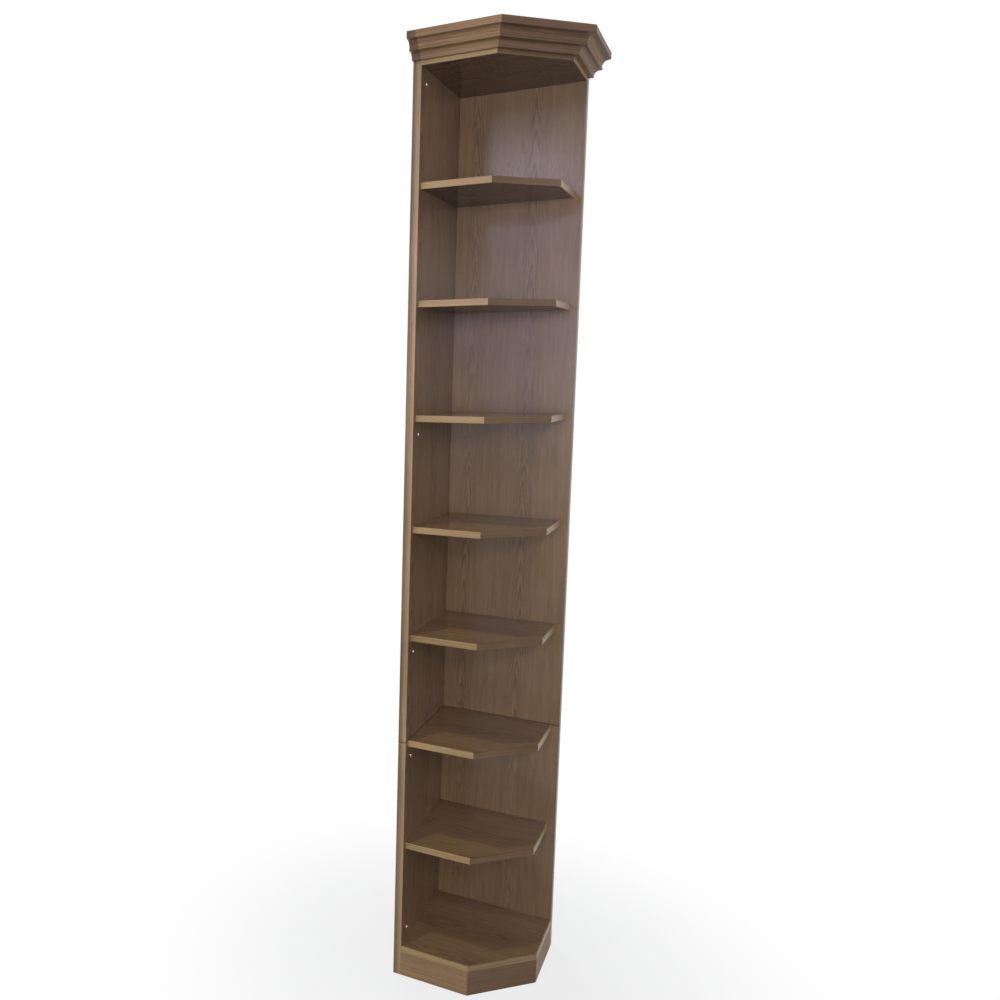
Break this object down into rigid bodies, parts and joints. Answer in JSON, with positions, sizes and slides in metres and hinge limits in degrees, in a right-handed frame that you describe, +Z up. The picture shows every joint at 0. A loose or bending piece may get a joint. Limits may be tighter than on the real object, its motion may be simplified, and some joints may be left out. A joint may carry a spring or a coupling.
{
  "type": "corner shelf unit",
  "caption": "Tall open corner bookcase in stained oak veneer: stacked sections with a side and a back panel, chamfered shelves, a plinth and a crown moulding.",
  "frame": {"origin": "on the floor, under the middle of the square that the cornice fills in plan", "axes": "+Z up; -Y faces the room and +Y the wall behind the back panel; -X faces the neighbouring cabinet beside the side panel and +X is the open right side"},
  "size_m": [0.39, 0.39, 2.37],
  "materials": {
    "oak_veneer": "satin stained oak veneer",
    "oak_lipping": "satin oak edging",
    "oak_moulding": "satin stained oak",
    "pine": "sawn, unfinished",
    "beech": "turned, unfinished",
    "zinc_steel": "zinc plated",
    "nickel": "nickel plated"
  },
  "bodies": {
    "root": {"bottom_board": "oak_veneer", "bottom_board_lipping": "oak_lipping", "cornice_batten_diagonal": "pine", "cornice_batten_front": "pine", "cornice_batten_return": "pine", "cornice_diagonal": "oak_moulding", "cornice_end": "oak_moulding", "cornice_front": "oak_moulding", "cornice_return": "oak_moulding", "cornice_screws": "zinc_steel", "lower_back_lipping": "oak_lipping", "lower_back_panel": "oak_veneer", "lower_back_screws": "zinc_steel", "lower_connectors": "nickel", "lower_corner_screws": "zinc_steel", "lower_shelf": "oak_veneer", "lower_shelf_lipping": "oak_lipping", "lower_side_lipping": "oak_lipping", "lower_side_panel": "oak_veneer", "lower_side_screws": "zinc_steel", "lower_top_board": "oak_veneer", "lower_top_board_lipping": "oak_lipping", "plinth_diagonal": "oak_moulding", "plinth_front": "oak_moulding", "plinth_glue_blocks": "pine", "plinth_return": "oak_moulding", "section_dowels": "beech", "top_board": "oak_veneer", "top_board_lipping": "oak_lipping", "upper_back_lipping": "oak_lipping", "upper_back_panel": "oak_veneer", "upper_back_screws": "zinc_steel", "upper_connectors": "nickel", "upper_corner_screws": "zinc_steel", "upper_shelf_1": "oak_veneer", "upper_shelf_1_lipping": "oak_lipping", "upper_shelf_2": "oak_veneer", "upper_shelf_2_lipping": "oak_lipping", "upper_shelf_3": "oak_veneer", "upper_shelf_3_lipping": "oak_lipping", "upper_shelf_4": "oak_veneer", "upper_shelf_4_lipping": "oak_lipping", "upper_shelf_5": "oak_veneer", "upper_shelf_5_lipping": "oak_lipping", "upper_side_lipping": "oak_lipping", "upper_side_panel": "oak_veneer", "upper_side_screws": "zinc_steel"}
  },
  "joints": []
}
